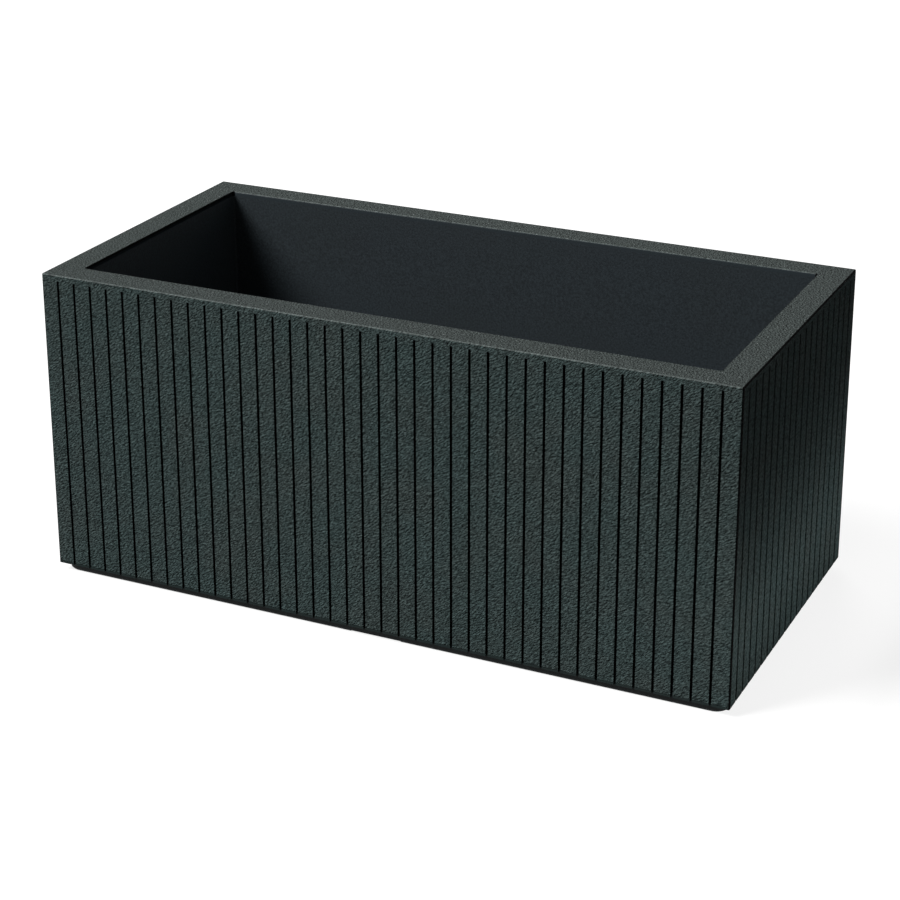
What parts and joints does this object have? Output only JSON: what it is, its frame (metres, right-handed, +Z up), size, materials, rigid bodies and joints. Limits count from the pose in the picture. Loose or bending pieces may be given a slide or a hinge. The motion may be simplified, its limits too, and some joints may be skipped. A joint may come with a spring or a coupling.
{
  "type": "floor planter",
  "caption": "Low rectangular floor planter: a boarded, textured plastic shell with a wide flat rim round a smooth inner tub, on a set-in base pan, with pull-out drain plugs.",
  "frame": {"origin": "on the ground under the middle of the planter", "axes": "+X along the long side, towards the right seen from the front; front at -Y; +Z up"},
  "size_m": [0.8, 0.389, 0.3565],
  "materials": {
    "textured_shell": "dark green-grey, fine sandstone texture",
    "smooth_tub": "smooth blue-black, satin",
    "base_plastic": "smooth near-black",
    "screw_steel": "zinc-plated",
    "plug_plastic": "smooth moulded",
    "washer_rubber": "soft, plain"
  },
  "bodies": {
    "planter": {"outer_shell": "textured_shell", "inner_tub": "smooth_tub", "base_pan": "base_plastic", "base_screws": "screw_steel"},
    "left_plug": {"drain_plug_left": "plug_plastic", "plug_washer_left": "washer_rubber"},
    "right_plug": {"drain_plug_right": "plug_plastic", "plug_washer_right": "washer_rubber"}
  },
  "joints": [
    {"name": "left_plug_pull", "type": "slide", "parent": "planter", "child": "left_plug", "axis": [0, 0, 1], "range_m": [0, 0.36]},
    {"name": "right_plug_pull", "type": "slide", "parent": "planter", "child": "right_plug", "axis": [0, 0, 1], "range_m": [0, 0.36]}
  ]
}
